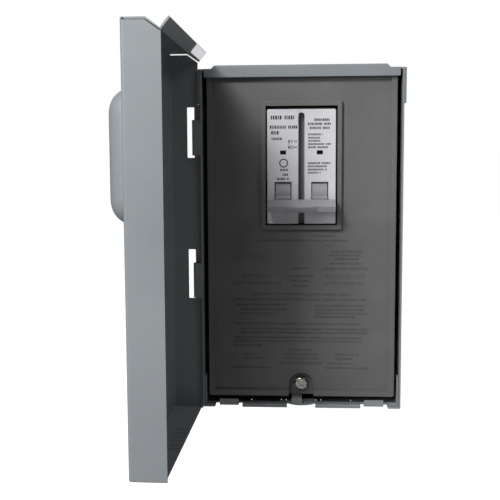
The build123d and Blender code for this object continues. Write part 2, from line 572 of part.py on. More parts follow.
with BuildPart() as line_terminals:
    for pole_x in POLES.values():
        block((pole_x - STRAP_W / 2, pole_x + STRAP_W / 2), (STRAP_D, STRAP_FRONT), (55.0, 110.0))
        rod_out(pole_x, CASE_HIGH + 3.5, (STRAP_D, STRAP_FRONT), 1.6, Mode.SUBTRACT)
        for leaf in (-LEAF_GAP - LEAF_T, LEAF_GAP):
            block((pole_x + leaf, pole_x + leaf + LEAF_T), (STRAP_FRONT, 46.0), (55.0, 66.0))

line_terminals.part.label = "line_terminals"
export_step(line_terminals.part, "parts/line_terminals.step")

with BuildPart() as load_terminals:
    for pole_x in POLES.values():
        block((pole_x - STRAP_W / 2, pole_x + STRAP_W / 2), (STRAP_D, STRAP_FRONT), (-12.0, 38.0))
        rod_out(pole_x, CASE_LOW - 6.0, (STRAP_D, STRAP_FRONT), 1.6, Mode.SUBTRACT)
        for leaf in (-LEAF_GAP - LEAF_T, LEAF_GAP):
            block((pole_x + leaf, pole_x + leaf + LEAF_T), (STRAP_FRONT, 48.0), (22.0, 38.0))
    rod_across((-CASE_HALF, CASE_HALF), ARM_D, ARM_Z, CROSSBAR_R + 0.6, Mode.SUBTRACT)

load_terminals.part.label = "load_terminals"
export_step(load_terminals.part, "parts/load_terminals.step")

with BuildPart() as terminal_screws:
    for pole_x in POLES.values():
        for screw_z in (CASE_HIGH + 3.5, CASE_LOW - 6.0):
            slotted_screw(pole_x, screw_z, STRAP_D - 10.0, STRAP_FRONT, 1.5, 2.8, 1.8)

terminal_screws.part.label = "terminal_screws"
export_step(terminal_screws.part, "parts/terminal_screws.step")

WIRE_D = STRAP_FRONT + 7.0   # centre of a lug's wire hole
LUG_FRONT = STRAP_FRONT + LUG[1]

for end, lug_z in (("line", LINE_LUG_Z), ("load", LOAD_LUG_Z)):
    with BuildPart() as lugs:
        for pole_x in POLES.values():
            low, high = lug_z - LUG[2] / 2, lug_z + LUG[2] / 2
            block((pole_x - LUG[0] / 2, pole_x + LUG[0] / 2), (STRAP_FRONT, LUG_FRONT), (low, high))
        chamfer(lugs.edges().filter_by(Axis.Z).group_by(Axis.Y)[0], 0.8)
        for pole_x in POLES.values():
            rod_up(pole_x, WIRE_D, (lug_z - LUG[2], lug_z + LUG[2]), WIRE_R, Mode.SUBTRACT)
            rod_out(pole_x, lug_z, (WIRE_D, LUG_FRONT + 1), SET_SCREW_R, Mode.SUBTRACT)
    lugs.part.label = f"{end}_lugs"
    export_step(lugs.part, f"parts/{end}_lugs.step")

    with BuildPart() as set_screws:
        for pole_x in POLES.values():
            rod_out(pole_x, lug_z, (WIRE_D + WIRE_R + 0.2, LUG_FRONT + 2.5), SET_SCREW_R)
            with BuildSketch(wall_plane(LUG_FRONT - 0.5)):
                with Locations((pole_x, lug_z)):
                    RegularPolygon(1.9, 6)
            extrude(amount=4.0, mode=Mode.SUBTRACT)
    set_screws.part.label = f"{end}_lug_screws"
    export_step(set_screws.part, f"parts/{end}_lug_screws.step")

PLATE_T, PLATES_Z = 0.8, (75.5, 78.0, 80.5, 83.0)

with BuildPart() as arc_plates:
    for pole_x in POLES.values():
        near, far = (1.4, 20.6) if pole_x > 0 else (-20.6, -1.4)
        for plate_z in PLATES_Z:
            block((near, far), (42.0, 60.0), (plate_z, plate_z + PLATE_T))
            block((pole_x - 2.2, pole_x + 2.2), (56.0, 61.0), (plate_z, plate_z + PLATE_T),
                  Mode.SUBTRACT)

arc_plates.part.label = "arc_plates"
export_step(arc_plates.part, "parts/arc_plates.step")


# ---- Ground bar in the wiring space ----------------------------------------------------

with BuildPart() as ground_bar:
    block((-GROUND_HALF, GROUND_HALF), (SHEET, SHEET + GROUND_D),
          (BAR_Z - GROUND_H / 2, BAR_Z + GROUND_H / 2))
    chamfer(ground_bar.edges().filter_by(Axis.X), 0.6)
    for wire_x in GROUND_WIRES_X:
        rod_up(wire_x, SHEET + 5.0, (BAR_Z - GROUND_H, BAR_Z + GROUND_H), 2.6, Mode.SUBTRACT)
        rod_out(wire_x, BAR_Z, (SHEET + 5.0, SHEET + GROUND_D + 1), 2.0, Mode.SUBTRACT)
    for screw_x in (-28.0, 28.0):
        rod_out(screw_x, BAR_Z, (0, SHEET + GROUND_D + 1), 2.2, Mode.SUBTRACT)

ground_bar.part.label = "ground_bar"
export_step(ground_bar.part, "parts/ground_bar.step")

with BuildPart() as ground_bar_screws:
    for screw_x in (-28.0, 28.0):
        slotted_screw(screw_x, BAR_Z, 0.3, SHEET + GROUND_D, 2.1, 3.8, 2.2)

ground_bar_screws.part.label = "ground_bar_screws"
export_step(ground_bar_screws.part, "parts/ground_bar_screws.step")

with BuildPart() as ground_wire_screws:
    for wire_x in GROUND_WIRES_X:
        slotted_screw(wire_x, BAR_Z, SHEET + 7.9, SHEET + GROUND_D + 1.5, 2.0, 3.2, 2.0)

ground_wire_screws.part.label = "ground_wire_screws"
export_step(ground_wire_screws.part, "parts/ground_wire_screws.step")


# ---- Door: one folded sheet, drawn shut about the hinge axis and placed open ------------

ANGLE = radians(-DOOR_OPEN)
DOOR = Plane(origin=(HINGE_X, -HINGE_D, 0), x_dir=(cos(ANGLE), sin(ANGLE), 0), z_dir=(0, 0, 1))


def door_floor(z):
    """A level plane in the door: local x across it from the hinge, local y inwards."""
    return DOOR.offset(z)


def door_face(y):
    """A plane parallel to the door front, y in from the hinge axis, facing out."""
    return Plane(origin=DOOR.origin + DOOR.y_dir * y, x_dir=DOOR.x_dir, z_dir=-DOOR.y_dir)


def door_side(u):
    """A plane across the door, u from the hinge axis: local x inwards, local y up."""
    return Plane(origin=DOOR.origin + DOOR.x_dir * u, x_dir=DOOR.y_dir, z_dir=DOOR.x_dir)


HINGE_SIDE = -SHEET / 2      # outer face of the hinge flange
FREE_SIDE = HINGE_SIDE + DOOR_W
VALLEY_Y, VALLEY_DROP, SLOPE_Y = 1.2, 5.6, -6.5
LIP_BACK, LIP_RISE = 4.8, 5.9
LIP_TAB = 45.0               # end tab of the lip, cut free by a notch
PLATE_BACK = DOOR_BACK - 1.2   # back edge of the bottom plate
CAP_CLEAR = 0.5              # how far the hinge flange passes the axis beside the top cap
SKIRT_GAP = 0.2              # height of the gap under the cap's skirt


def hood_line(drop):
    """Points of the hood's section, lowered by drop, from the front to the valley."""
    return [(DOOR_FRONT, DOOR_TOP - drop), (SLOPE_Y, DOOR_TOP - drop),
            (VALLEY_Y, DOOR_TOP - VALLEY_DROP - drop)]


with BuildPart() as door_panel:
    # front and both side flanges, one bent section
    with BuildSketch(door_floor(DOOR_BOTTOM)):
        with BuildLine():
            Polyline((HINGE_SIDE, DOOR_BACK), (HINGE_SIDE, DOOR_FRONT), (FREE_SIDE, DOOR_FRONT),
                     (FREE_SIDE, DOOR_BACK), (FREE_SIDE - SHEET, DOOR_BACK),
                     (FREE_SIDE - SHEET, DOOR_FRONT + SHEET),
                     (HINGE_SIDE + SHEET, DOOR_FRONT + SHEET),
                     (HINGE_SIDE + SHEET, DOOR_BACK), close=True)
        make_face()
    extrude(amount=DOOR_TOP - DOOR_BOTTOM)
    outer_bends = door_panel.edges().filter_by(Axis.Z)
    outer_bends = outer_bends.filter_by(
        lambda e: abs(DOOR.to_local_coords(e.center()).Y - DOOR_FRONT) < 0.01)
    fillet(outer_bends, BEND_R)
    inner_bends = door_panel.edges().filter_by(Axis.Z).filter_by(
        lambda e: abs(DOOR.to_local_coords(e.center()).Y - DOOR_FRONT - SHEET) < 0.01)
    fillet(inner_bends, BEND_R - SHEET)
    # the flanges stop a little below the hood and follow its slope
    hood = hood_line(SHEET + 0.6)
    with BuildSketch(door_side(HINGE_SIDE - 1)):
        with BuildLine():
            Polyline((DOOR_FRONT + SHEET, hood[0][1]), hood[1], hood[2], (DOOR_BACK + 1, hood[2][1]),
                     (DOOR_BACK + 1, DOOR_TOP + 1), (DOOR_FRONT + SHEET, DOOR_TOP + 1), close=True)
        make_face()
    extrude(amount=DOOR_W + 2, mode=Mode.SUBTRACT)
    # hood: flat top, slope down to a valley, then a rising lip
    top, low = hood_line(0), hood_line(SHEET)
    lip_top = (VALLEY_Y + LIP_BACK, DOOR_TOP - VALLEY_DROP + LIP_RISE)
    with BuildSketch(door_side(HINGE_SIDE + BEND_R)):
        with BuildLine():
            Polyline(top[0], top[1], top[2], lip_top, (lip_top[0] + 0.9, lip_top[1] - 0.8),
                     (VALLEY_Y + 0.4, low[2][1]), (low[1][0], low[1][1]), low[0], close=True)
        make_face()
    extrude(amount=DOOR_W - 2 * BEND_R)
    # bottom plate
    with BuildSketch(door_floor(DOOR_BOTTOM)):
        with BuildLine():
            Polyline((HINGE_SIDE + 1.4, DOOR_FRONT + 0.4), (FREE_SIDE - 1.4, DOOR_FRONT + 0.4),
                     (FREE_SIDE - 1.4, PLATE_BACK), (HINGE_SIDE + 1.4, PLATE_BACK), close=True)
        make_face()
    extrude(amount=SHEET)
    # the sheet bends round at the top and bottom of the front
    rim_bends = door_panel.edges().filter_by(lambda e: e.length > DOOR_W - 3 * BEND_R)
    rim_bends = rim_bends.filter_by(
        lambda e: abs(DOOR.to_local_coords(e.center()).Y - DOOR_FRONT) < 0.01)
    fillet(rim_bends, 1.0)
    # domed clearance for the handle, pressed out of the front
    with BuildSketch(door_face(DOOR_FRONT + 0.5)):
        with Locations((DOOR_W / 2 + HINGE_SIDE, DOME_Z)):
            RectangleRounded(DOME_W, DOME_H, 16.0)
    extrude(amount=DOME_RISE + 0.5)
    dome_rim = door_panel.faces().filter_by(
        lambda f: abs(DOOR.to_local_coords(f.center()).Y - DOOR_FRONT + DOME_RISE) < 0.1)
    fillet(dome_rim.edges(), 13.0)
    with BuildPart(mode=Mode.PRIVATE) as dome_hollow:
        with BuildSketch(door_face(DOOR_FRONT + SHEET + 0.5)):
            with Locations((DOOR_W / 2 + HINGE_SIDE, DOME_Z)):
                RectangleRounded(DOME_W - 2 * SHEET, DOME_H - 2 * SHEET, 16.0 - SHEET)
        extrude(amount=DOME_RISE + 0.5)
        hollow_rim = dome_hollow.faces().filter_by(
            lambda f: abs(DOOR.to_local_coords(f.center()).Y - DOOR_FRONT + DOME_RISE - SHEET) < 0.1)
        fillet(hollow_rim.edges(), 13.0 - SHEET)
    add(dome_hollow.part, mode=Mode.SUBTRACT)
    # hinge slots, open between the strip on the axis and the rest of the flange
    with BuildSketch(door_side(HINGE_SIDE - 1)):
        for slot_z in SLOTS_Z:
            with Locations((-(SLOT_NEAR + SLOT_FAR) / 2, slot_z)):
                RectangleRounded(SLOT_FAR - SLOT_NEAR, SLOT_TALL, 0.6)
    extrude(amount=SHEET + 2, mode=Mode.SUBTRACT)
    # the hinge flange is cut back beside the skirt of the top cap
    cut_low = CAP_SKIRT_BOTTOM - SKIRT_GAP
    with BuildSketch(door_side(HINGE_SIDE - 1)):
        with Locations(((CAP_CLEAR + DOOR_BACK + 1) / 2, (cut_low + DOOR_TOP) / 2)):
            Rectangle(DOOR_BACK + 1 - CAP_CLEAR, DOOR_TOP - cut_low)
    extrude(amount=SHEET + 2, mode=Mode.SUBTRACT)
    # a slit sets the end tab of the lip free
    with BuildSketch(door_side(LIP_TAB)):
        with Locations((VALLEY_Y + 5.0, DOOR_TOP)):
            Rectangle(8.0, 2 * (VALLEY_DROP - 1.2))
    extrude(amount=1.6, mode=Mode.SUBTRACT)

door_panel.part.label = "door_panel"
export_step(door_panel.part, "parts/door_panel.step")
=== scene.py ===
# %% [markdown]
# # A small outdoor disconnect, door open
#
# The real object is a sheet steel box with a hooded door, a dark moulded inner cover and a
# two-pole switch with one tied handle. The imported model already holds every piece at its
# true size, so this lesson adds what a solid model lacks: finishes, the small raised marks
# on the inner cover, ink on the switch faces, and a softly lit stage. Everything is in
# metres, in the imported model's own frame: +X right, -Y out of the wall, +Z up.

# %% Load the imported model
import json
import random
from math import radians

import bmesh
import bpy
from mathutils import Matrix, Vector


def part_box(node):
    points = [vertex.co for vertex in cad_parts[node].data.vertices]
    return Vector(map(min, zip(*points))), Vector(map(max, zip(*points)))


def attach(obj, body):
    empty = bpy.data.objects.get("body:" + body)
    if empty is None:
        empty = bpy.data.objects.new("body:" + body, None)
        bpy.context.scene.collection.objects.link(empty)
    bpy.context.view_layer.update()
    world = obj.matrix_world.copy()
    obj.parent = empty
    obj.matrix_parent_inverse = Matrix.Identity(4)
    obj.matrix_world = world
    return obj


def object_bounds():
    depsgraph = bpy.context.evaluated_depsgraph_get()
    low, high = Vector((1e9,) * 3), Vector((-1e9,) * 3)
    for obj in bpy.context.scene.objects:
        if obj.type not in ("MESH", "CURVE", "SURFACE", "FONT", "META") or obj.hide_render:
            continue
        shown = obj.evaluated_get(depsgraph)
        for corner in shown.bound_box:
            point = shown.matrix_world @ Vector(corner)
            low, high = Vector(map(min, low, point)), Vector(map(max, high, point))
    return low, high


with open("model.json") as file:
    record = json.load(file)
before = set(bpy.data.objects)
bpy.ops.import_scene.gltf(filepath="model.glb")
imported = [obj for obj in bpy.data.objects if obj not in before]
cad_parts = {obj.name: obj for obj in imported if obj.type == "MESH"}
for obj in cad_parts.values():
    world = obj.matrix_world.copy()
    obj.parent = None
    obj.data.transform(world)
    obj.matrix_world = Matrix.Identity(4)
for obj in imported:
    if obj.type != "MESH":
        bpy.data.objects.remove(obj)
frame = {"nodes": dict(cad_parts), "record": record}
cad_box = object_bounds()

MM = 0.001
nodes = frame["nodes"]
record = frame["record"]
box_low, box_high = (Vector(corner) for corner in cad_box)
print("pieces from the model:", len(nodes))
print("overall size in mm:", [round(side / MM, 1) for side in box_high - box_low])

# %% [markdown]
# ## The camera
#
# A product like this is shot from a little over half a metre, level with the switch and a touch
# from above, with a long lens so that the box keeps its upright sides. Placing the camera with a
# location, a downward tilt, a turn to the left and a tiny roll keeps each of the four readable,
# which a look-at constraint would hide.

# %% Set up the camera
CAMERA_AT = Vector((-0.73, -657.96, 53.05)) * MM
TILT_DOWN, TURN_LEFT, ROLL = 5.800, 3.447, -0.272
LENS, SENSOR, NEAREST = 60.37, 36.0, 10 * MM

camera_data = bpy.data.cameras.new("camera")
camera_data.lens = LENS
camera_data.sensor_width = SENSOR
camera_data.clip_start = NEAREST
camera = bpy.data.objects.new("camera", camera_data)
bpy.context.scene.collection.objects.link(camera)
camera.matrix_world = (
    Matrix.Translation(CAMERA_AT)
    @ Matrix.Rotation(radians(TURN_LEFT), 4, "Z")
    @ Matrix.Rotation(radians(90 - TILT_DOWN), 4, "X")
    @ Matrix.Rotation(radians(ROLL), 4, "Z")
)
bpy.context.scene.camera = camera
print("camera at", [round(v, 4) for v in camera.location], "lens", LENS)

# %% [markdown]
# ## The floor
#
# The box hangs in front of a pale studio, clear of the ground. A wide disc a little below
# it serves as the floor. A disc is chosen over a square because its edge lies equally far
# off wherever the camera stands. Its level is read from the model's own lowest point.

# %% Build the floor
FLOOR_DROP, FLOOR_REACH, FLOOR_SIDES = 45 * MM, 3.0, 96


def link_mesh(name, mesh_tool):
    """Turns a bmesh into an object in the scene."""
    mesh = bpy.data.meshes.new(name)
    bmesh.ops.recalc_face_normals(mesh_tool, faces=mesh_tool.faces)
    mesh_tool.to_mesh(mesh)
    mesh_tool.free()
    made = bpy.data.objects.new(name, mesh)
    bpy.context.scene.collection.objects.link(made)
    return made


disc = bmesh.new()
bmesh.ops.create_circle(disc, cap_ends=True, radius=FLOOR_REACH, segments=FLOOR_SIDES)
floor = link_mesh("floor", disc)
floor.location.z = box_low.z - FLOOR_DROP
print("floor at", round(floor.location.z, 4))

# %% [markdown]
# ## The lights
#
# Three softboxes stand to the left and in front, so the open door throws its shadow over
# the near side of the inner cover, as it does on the real object. A faint strip overhead
# catches the cap and the hood, and a weak one from the right lifts the far edges. Area
# lights are chosen over point lights because their size sets how soft each shadow is.
# Each line gives a light's place, its width and its power.

# %% Hang the lights
LIGHTS = (
    ("left_softbox", (-0.670, -1.124, 0.329), 0.28, 3.7),
    ("high_left_softbox", (-0.552, -0.935, 0.775), 0.28, 8.8),
    ("high_softbox", (-0.367, -1.026, 0.775), 0.28, 3.0),
    ("right_strip", (0.857, -0.612, 0.722), 0.40, 1.2),
    ("overhead_strip", (0.10, -0.30, 1.00), 0.40, 0.8),
)
LIGHT_AIM = Vector((-0.03, -0.10, 0.005))

for label, place, size, watts in LIGHTS:
    lamp_data = bpy.data.lights.new(label, "AREA")
    lamp_data.energy = watts
    lamp_data.size = size
    lamp = bpy.data.objects.new(label, lamp_data)
    bpy.context.scene.collection.objects.link(lamp)
    lamp.location = Vector(place)
    lamp.rotation_euler = (lamp.location - LIGHT_AIM).to_track_quat("Z", "Y").to_euler()
    print(label, "at", place, watts, "W")

# %% [markdown]
# ## A short way to place shader nodes
#
# Every finish below is a small graph. This helper adds one node, sets its options and
# sockets, and links a socket when it is handed one. It keeps each graph readable as a
# list of what feeds what.


# %% Node helpers
def put(tree, kind, sockets=None, **options):
    """Adds a node to a tree. A socket given as a value is linked, anything else is set."""
    made = tree.nodes.new(kind)
    for key, value in options.items():
        setattr(made, key, value)
    for key, value in (sockets or {}).items():
        if isinstance(value, bpy.types.NodeSocket):
            tree.links.new(value, made.inputs[key])
        else:
            made.inputs[key].default_value = value
    return made


def math(tree, operation, a, b, clamp=False):
    """One arithmetic step, as a socket."""
    made = put(tree, "ShaderNodeMath", {0: a, 1: b}, operation=operation, use_clamp=clamp)
    return made.outputs[0]


def ramp(tree, value, low, high):
    """Stretches the part of a value between low and high to 0..1, as a socket."""
    made = put(tree, "ShaderNodeMapRange", {"Value": value, "From Min": low, "From Max": high})
    return made.outputs["Result"]


def blend_colour(tree, factor, a, b):
    """Mixes two colours, as a socket."""
    made = put(tree, "ShaderNodeMix", {0: factor, 6: a, 7: b}, data_type="RGBA")
    return made.outputs[2]


def new_group(name, inputs, outputs):
    """An empty shader group with named sockets. Returns the tree, its input and its output node."""
    group = bpy.data.node_groups.new(name, "ShaderNodeTree")
    for label, kind, value in inputs:
        socket = group.interface.new_socket(name=label, in_out="INPUT", socket_type=kind)
        if value is not None:
            socket.default_value = value
    for label, kind in outputs:
        group.interface.new_socket(name=label, in_out="OUTPUT", socket_type=kind)
    print("group", name, "gives", [label for label, kind in outputs])
    return group, group.nodes.new("NodeGroupInput"), group.nodes.new("NodeGroupOutput")


FLOAT, VECTOR = "NodeSocketFloat", "NodeSocketVector"

# %% [markdown]
# ## The stage finish
#
# The floor is a plain card that reads pale because it glows for the camera alone. Its own
# skin is darker than it looks, so that little light is thrown up into the shadows of the
# door and the handle. The surround is white to the camera, dark as a light, and faintly
# there in reflections, which gives bare metal something to mirror.

# %% Paint the stage
FLOOR_SKIN, FLOOR_MATT, FLOOR_GLOW = (0.42, 0.42, 0.42, 1), 0.9, 1.0
SURROUND_SEEN, SURROUND_LIGHT, SURROUND_GLOSS = 1.0, 0.0, 0.08

stage_paint = bpy.data.materials.new("pale_card")
stage_paint.use_nodes = True
tree = stage_paint.node_tree
card = tree.nodes["Principled BSDF"]
card.inputs["Base Color"].default_value = FLOOR_SKIN
card.inputs["Roughness"].default_value = FLOOR_MATT
card.inputs["Emission Color"].default_value = (1, 1, 1, 1)
path = put(tree, "ShaderNodeLightPath")
glow = math(tree, "MULTIPLY", path.outputs["Is Camera Ray"], FLOOR_GLOW)
tree.links.new(glow, card.inputs["Emission Strength"])
floor.data.materials.append(stage_paint)

world = bpy.data.worlds.new("studio")
world.use_nodes = True
bpy.context.scene.world = world
tree = world.node_tree
tree.nodes.clear()
path = put(tree, "ShaderNodeLightPath")
seen = math(tree, "MULTIPLY", path.outputs["Is Camera Ray"], SURROUND_SEEN - SURROUND_LIGHT)
mirrored = math(tree, "MULTIPLY", path.outputs["Is Glossy Ray"], SURROUND_GLOSS)
strength = math(tree, "ADD", math(tree, "ADD", seen, mirrored), SURROUND_LIGHT)
surround = put(tree, "ShaderNodeBackground", {"Color": (1, 1, 1, 1), "Strength": strength})
put(tree, "ShaderNodeOutputWorld", {"Surface": surround.outputs[0]})
bpy.context.scene.view_settings.view_transform = "Standard"
print("surround lights at", SURROUND_LIGHT)

# %% [markdown]
# ## Worn edges
#
# Paint pulls thin over a sharp edge and handling polishes it, so edges read lighter than
# faces. A Bevel node gives the normal that a rounded edge would have. Where it departs
# from the true normal there is an edge, whatever the mesh looks like. Noise breaks the
# line up, because real wear is never even.

# %% Group: worn edge
WEAR_PATCHES = 260.0
EDGE_RANGE, PATCH_RANGE = (0.985, 0.80), (0.62, 0.38)

group, given, result = new_group(
    "worn_edge",
    [("Vector", VECTOR, None), ("Radius", FLOAT, 0.0005), ("Evenness", FLOAT, 0.5)],
    [("Mask", FLOAT)],
)
rounded = put(group, "ShaderNodeBevel", {"Radius": given.outputs["Radius"]}, samples=6)
true_normal = put(group, "ShaderNodeNewGeometry").outputs["Normal"]
alike = put(
    group, "ShaderNodeVectorMath",
    {0: rounded.outputs[0], 1: true_normal}, operation="DOT_PRODUCT",
).outputs["Value"]
edge = ramp(group, alike, *EDGE_RANGE)
patches = put(
    group, "ShaderNodeTexNoise",
    {"Vector": given.outputs["Vector"], "Scale": WEAR_PATCHES, "Detail": 5.0, "Roughness": 0.65},
).outputs[0]
broken = ramp(group, patches, *PATCH_RANGE)
kept = math(group, "MAXIMUM", broken, given.outputs["Evenness"])
group.links.new(math(group, "MULTIPLY", edge, kept, clamp=True), result.inputs["Mask"])
worn_edge = group

# %% [markdown]
# ## Powder coat
#
# The enclosure is powder coated: the powder melts and flows into a skin with a faint
# orange peel about half a millimetre across, and a finer sparkle of specks in it. Two
# noises at those two scales make the height, and a broad slow one gives the drift in
# shade that a large coated panel always has.

# %% Group: powder coat
SPECKS_PER_PEEL, SPECK_RELIEF = 4.5, 0.25
COAT_SHADE, COAT_SPECKS = (0.32, 0.68), (0.35, 0.65)

group, given, result = new_group(
    "powder_coat",
    [("Vector", VECTOR, None), ("Peel", FLOAT, 1500.0), ("Drift", FLOAT, 14.0)],
    [("Height", FLOAT), ("Shade", FLOAT), ("Specks", FLOAT)],
)
peel = put(
    group, "ShaderNodeTexNoise",
    {"Vector": given.outputs["Vector"], "Scale": given.outputs["Peel"],
     "Detail": 2.0, "Roughness": 0.4},
).outputs[0]
fine_scale = math(group, "MULTIPLY", given.outputs["Peel"], SPECKS_PER_PEEL)
specks = put(
    group, "ShaderNodeTexNoise",
    {"Vector": given.outputs["Vector"], "Scale": fine_scale, "Detail": 1.0, "Roughness": 0.5},
).outputs[0]
drift = put(
    group, "ShaderNodeTexNoise",
    {"Vector": given.outputs["Vector"], "Scale": given.outputs["Drift"],
     "Detail": 6.0, "Roughness": 0.55},
).outputs[0]
relief = math(group, "ADD", peel, math(group, "MULTIPLY", specks, SPECK_RELIEF))
group.links.new(relief, result.inputs["Height"])
group.links.new(ramp(group, drift, *COAT_SHADE), result.inputs["Shade"])
group.links.new(ramp(group, specks, *COAT_SPECKS), result.inputs["Specks"])
powder_coat = group

# %% [markdown]
# ## Moulded plastic
#
# The inner cover, switch and handle are injection moulded in tools with an eroded
# texture: tight little pits about a quarter of a millimetre apart. Voronoi cells give
# that pitting better than plain noise, and a broad noise gives the faint flow shading.

# %% Group: moulded skin
CLOUDS_PER_PIT, CLOUD_RELIEF = 0.4, 0.7
MOULD_SHADE, MOULD_SPECKS = (0.3, 0.7), (0.36, 0.64)

group, given, result = new_group(
    "moulded_skin",
    [("Vector", VECTOR, None), ("Pits", FLOAT, 3600.0), ("Flow", FLOAT, 22.0)],
    [("Height", FLOAT), ("Shade", FLOAT), ("Specks", FLOAT)],
)
pits = put(
    group, "ShaderNodeTexVoronoi",
    {"Vector": given.outputs["Vector"], "Scale": given.outputs["Pits"], "Smoothness": 0.6},
    feature="SMOOTH_F1",
).outputs["Distance"]
cloud_scale = math(group, "MULTIPLY", given.outputs["Pits"], CLOUDS_PER_PIT)
cloud = put(
    group, "ShaderNodeTexNoise",
    {"Vector": given.outputs["Vector"], "Scale": cloud_scale, "Detail": 4.0, "Roughness": 0.7},
).outputs[0]
flow = put(
    group, "ShaderNodeTexNoise",
    {"Vector": given.outputs["Vector"], "Scale": given.outputs["Flow"],
     "Detail": 4.0, "Distortion": 1.2},
).outputs[0]
relief = math(group, "ADD", pits, math(group, "MULTIPLY", cloud, CLOUD_RELIEF))
group.links.new(relief, result.inputs["Height"])
group.links.new(ramp(group, flow, *MOULD_SHADE), result.inputs["Shade"])
group.links.new(ramp(group, cloud, *MOULD_SPECKS), result.inputs["Specks"])
moulded_skin = group

# %% [markdown]
# ## Bare and plated metal
#
# Screws, lugs, bars and blades are drawn, turned or stamped, so their skin has fine
# lines along one way. Noise squeezed hard across one axis makes such lines, and a second
# broad noise makes the cloudy bloom of zinc or the darkening of copper.

# %% Group: metal skin
LINE_STRETCH = (0.08, 0.08, 1.0)
METAL_SHADE, METAL_SPECKS = (0.3, 0.7), (0.4, 0.62)

group, given, result = new_group(
    "metal_skin",
    [("Vector", VECTOR, None), ("Lines", FLOAT, 900.0), ("Bloom", FLOAT, 260.0)],
    [("Height", FLOAT), ("Shade", FLOAT), ("Specks", FLOAT)],
)
drawn = put(
    group, "ShaderNodeVectorMath",
    {0: given.outputs["Vector"], 1: LINE_STRETCH}, operation="MULTIPLY",
).outputs[0]
lines = put(
    group, "ShaderNodeTexNoise",
    {"Vector": drawn, "Scale": given.outputs["Lines"], "Detail": 5.0, "Roughness": 0.7},
).outputs[0]
bloom = put(
    group, "ShaderNodeTexNoise",
    {"Vector": given.outputs["Vector"], "Scale": given.outputs["Bloom"],
     "Detail": 6.0, "Roughness": 0.6},
).outputs[0]
group.links.new(lines, result.inputs["Height"])
group.links.new(ramp(group, bloom, *METAL_SHADE), result.inputs["Shade"])
group.links.new(ramp(group, lines, *METAL_SPECKS), result.inputs["Specks"])
metal_skin = group

# %% [markdown]
# ## Scuffs
#
# A new box still carries hairline rubs from its packing. They are thin bands of noise,
# stretched along a slant, and kept only where a second, broad noise allows. Stretched noise
# is chosen over drawn lines because no two rubs come out alike.

# %% Group: scuffs
SLANT, SQUEEZE = (0.25, 0.5, 0.9), (22.0, 22.0, 1.0)
RUBBED_PLACES = 35.0
HAIR_RANGE, PLACE_RANGE = (0.64, 0.72), (0.5, 0.66)

group, given, result = new_group(
    "scuffs",
    [("Vector", VECTOR, None), ("Length", FLOAT, 60.0), ("Amount", FLOAT, 0.5)],
    [("Mask", FLOAT)],
)
turned = put(group, "ShaderNodeMapping", {"Vector": given.outputs["Vector"], "Rotation": SLANT})
thin = put(
    group, "ShaderNodeVectorMath",
    {0: turned.outputs[0], 1: SQUEEZE}, operation="MULTIPLY",
).outputs[0]
hairs = put(
    group, "ShaderNodeTexNoise",
    {"Vector": thin, "Scale": given.outputs["Length"], "Detail": 3.0, "Roughness": 0.8},
).outputs[0]
places = put(
    group, "ShaderNodeTexNoise",
    {"Vector": given.outputs["Vector"], "Scale": RUBBED_PLACES, "Detail": 2.0},
).outputs[0]
hair_mask = ramp(group, hairs, *HAIR_RANGE)
place_mask = ramp(group, places, *PLACE_RANGE)
both = math(group, "MULTIPLY", hair_mask, place_mask, clamp=True)
group.links.new(math(group, "MULTIPLY", both, given.outputs["Amount"]), result.inputs["Mask"])
scuffs = group

# %% [markdown]
# ## Settled dust
#
# Dust lies only on what faces up. The upward part of the surface normal finds those faces,
# and a fine noise thins the film out. Painting it by normal rather than by place means that
# it also leaves a face that a joint has turned upright.

# %% Group: settled dust
DUST_GRAINS = 420.0
FACING_RANGE, GRAIN_RANGE = (0.55, 0.98), (0.42, 0.68)

group, given, result = new_group(
    "settled_dust",
    [("Vector", VECTOR, None), ("Amount", FLOAT, 0.4)],
    [("Mask", FLOAT)],
)
upward = put(
    group, "ShaderNodeSeparateXYZ",
    {0: put(group, "ShaderNodeNewGeometry").outputs["Normal"]},
).outputs["Z"]
grains = put(
    group, "ShaderNodeTexNoise",
    {"Vector": given.outputs["Vector"], "Scale": DUST_GRAINS, "Detail": 6.0, "Roughness": 0.8},
).outputs[0]
facing_up = ramp(group, upward, *FACING_RANGE)
thinned = ramp(group, grains, *GRAIN_RANGE)
lying = math(group, "MULTIPLY", facing_up, thinned, clamp=True)
group.links.new(math(group, "MULTIPLY", lying, given.outputs["Amount"]), result.inputs["Mask"])
settled_dust = group

# %% [markdown]
# ## One recipe for every finish
#
# Each finish is the same stack: a skin group for height and shade, two tones mixed by the
# shade, then worn edges, scuffs and dust on top. The shader stays in the material, and
# whatever is the same all over is set straight on it.


# %% The finish recipe
SPECK_SHARE, RUB_LENGTH, RUB_AMOUNT, DUST_AMOUNT = 0.22, 55.0, 0.35, 0.35
MATT_BY_SHADE, MATT_BY_SPECKS, MATT_BY_RUBS, MATT_BY_DUST = 0.6, 0.4, 0.12, 0.3


